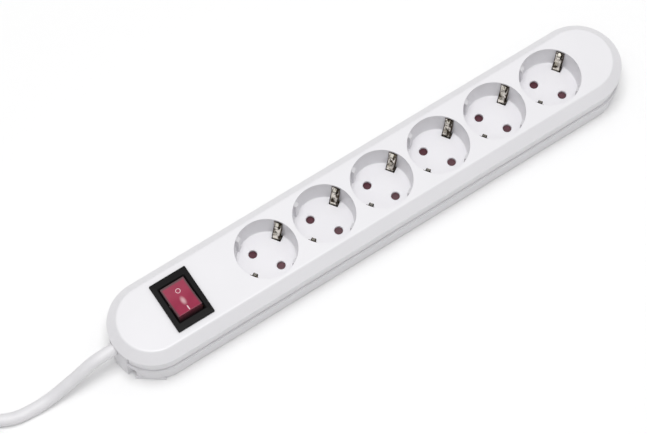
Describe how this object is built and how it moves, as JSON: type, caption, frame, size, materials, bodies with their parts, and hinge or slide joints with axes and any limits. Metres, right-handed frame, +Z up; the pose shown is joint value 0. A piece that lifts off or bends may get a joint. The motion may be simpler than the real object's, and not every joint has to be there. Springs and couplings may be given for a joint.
{
  "type": "power strip",
  "caption": "Low white power strip with a row of round earthed socket wells, a lit red rocker switch in a black bezel at one end, and a mains lead with an angled plug.",
  "frame": {"origin": "middle of the strip's underside, left out the lead and what is on it", "axes": "+X along the strip, from the lead's end to the far end; +Y across it, towards the O end of the switch; +Z up, out of the sockets"},
  "size_m": [0.7135, 0.0778, 0.0545],
  "materials": {
    "white_moulding": "smooth glossy white moulding",
    "black_nylon": "fine satin black",
    "red_rocker": "glossy translucent red, lit from inside",
    "lamp_glass": "clear glass with an orange glow",
    "maroon_shutter": "satin dark red nylon",
    "zinc_steel": "bright zinc plate",
    "nickel_plate": "dull nickel plate",
    "brass_strip": "rolled strip, as stamped",
    "white_pvc": "soft satin white cable jacket",
    "white_plug": "satin white moulded plug",
    "grey_strap": "woven hook and loop strap",
    "brown_core": "satin brown insulation",
    "blue_core": "satin blue insulation",
    "green_yellow_core": "satin green and yellow insulation"
  },
  "bodies": {
    "housing": {"top_shell": "white_moulding", "bottom_shell": "white_moulding", "cord_clamp": "white_moulding", "housing_screw_1": "zinc_steel", "housing_screw_2": "zinc_steel", "housing_screw_3": "zinc_steel", "housing_screw_4": "zinc_steel", "housing_screw_5": "zinc_steel", "housing_screw_6": "zinc_steel", "housing_screw_7": "zinc_steel", "clamp_screw_1": "zinc_steel", "clamp_screw_2": "zinc_steel", "shutter_spring_1": "zinc_steel", "earth_clip_1": "nickel_plate", "shutter_spring_2": "zinc_steel", "earth_clip_2": "nickel_plate", "shutter_spring_3": "zinc_steel", "earth_clip_3": "nickel_plate", "shutter_spring_4": "zinc_steel", "earth_clip_4": "nickel_plate", "shutter_spring_5": "zinc_steel", "earth_clip_5": "nickel_plate", "shutter_spring_6": "zinc_steel", "earth_clip_6": "nickel_plate", "earth_bar": "nickel_plate", "live_bar": "brass_strip", "neutral_bar": "brass_strip", "switch_housing": "black_nylon", "terminal_in_live": "brass_strip", "terminal_out_live": "brass_strip", "terminal_in_neutral": "brass_strip", "terminal_out_neutral": "brass_strip", "live_in_wire": "brown_core", "live_out_wire": "brown_core", "neutral_in_wire": "blue_core", "neutral_out_wire": "blue_core", "earth_wire": "green_yellow_core", "cord_lead": "white_pvc", "cord_hank": "white_pvc", "cord_tail": "white_pvc", "cord_tie": "grey_strap", "plug_strain_relief": "white_plug", "plug_body": "white_plug", "plug_pin_1": "nickel_plate", "plug_earth_contact_1": "nickel_plate", "plug_pin_2": "nickel_plate", "plug_earth_contact_2": "nickel_plate"},
    "rocker": {"rocker": "red_rocker", "neon_lamp": "lamp_glass", "plunger_live": "black_nylon", "plunger_neutral": "black_nylon"},
    "shutter_1": {"shutter_1": "maroon_shutter"},
    "shutter_2": {"shutter_2": "maroon_shutter"},
    "shutter_3": {"shutter_3": "maroon_shutter"},
    "shutter_4": {"shutter_4": "maroon_shutter"},
    "shutter_5": {"shutter_5": "maroon_shutter"},
    "shutter_6": {"shutter_6": "maroon_shutter"},
    "lever_live": {"contact_lever_live": "brass_strip"},
    "lever_neutral": {"contact_lever_neutral": "brass_strip"}
  },
  "joints": [
    {"name": "rocker_tilt", "type": "hinge", "parent": "housing", "child": "rocker", "pos_m": [-0.1362, 0, 0.0374], "axis": [1, 0, 0], "range_deg": [0, 18]},
    {"name": "shutter_turn_1", "type": "hinge", "parent": "housing", "child": "shutter_1", "pos_m": [-0.0757, 0, 0.0174], "axis": [0, 0, 1], "range_deg": [0, 40], "stiffness_Nm_per_rad": 0.0004, "springref_deg": -17.19},
    {"name": "shutter_turn_2", "type": "hinge", "parent": "housing", "child": "shutter_2", "pos_m": [-0.0334, 0, 0.0174], "axis": [0, 0, 1], "range_deg": [0, 40], "stiffness_Nm_per_rad": 0.0004, "springref_deg": -17.19},
    {"name": "shutter_turn_3", "type": "hinge", "parent": "housing", "child": "shutter_3", "pos_m": [0.0089, 0, 0.0174], "axis": [0, 0, 1], "range_deg": [0, 40], "stiffness_Nm_per_rad": 0.0004, "springref_deg": -17.19},
    {"name": "shutter_turn_4", "type": "hinge", "parent": "housing", "child": "shutter_4", "pos_m": [0.0512, 0, 0.0174], "axis": [0, 0, 1], "range_deg": [0, 40], "stiffness_Nm_per_rad": 0.0004, "springref_deg": -17.19},
    {"name": "shutter_turn_5", "type": "hinge", "parent": "housing", "child": "shutter_5", "pos_m": [0.0935, 0, 0.0174], "axis": [0, 0, 1], "range_deg": [0, 40], "stiffness_Nm_per_rad": 0.0004, "springref_deg": -17.19},
    {"name": "shutter_turn_6", "type": "hinge", "parent": "housing", "child": "shutter_6", "pos_m": [0.1358, 0, 0.0174], "axis": [0, 0, 1], "range_deg": [0, 40], "stiffness_Nm_per_rad": 0.0004, "springref_deg": -17.19},
    {"name": "contact_tilt_live", "type": "hinge", "parent": "housing", "child": "lever_live", "pos_m": [-0.1407, 0, 0.027], "axis": [1, 0, 0], "range_deg": [-10, 0]},
    {"name": "contact_tilt_neutral", "type": "hinge", "parent": "housing", "child": "lever_neutral", "pos_m": [-0.1317, 0, 0.027], "axis": [1, 0, 0], "range_deg": [-10, 0]}
  ],
  "couplings": [
    {"joint": "contact_tilt_live", "follows": "rocker_tilt", "ratio": -0.5},
    {"joint": "contact_tilt_neutral", "follows": "rocker_tilt", "ratio": -0.5}
  ]
}
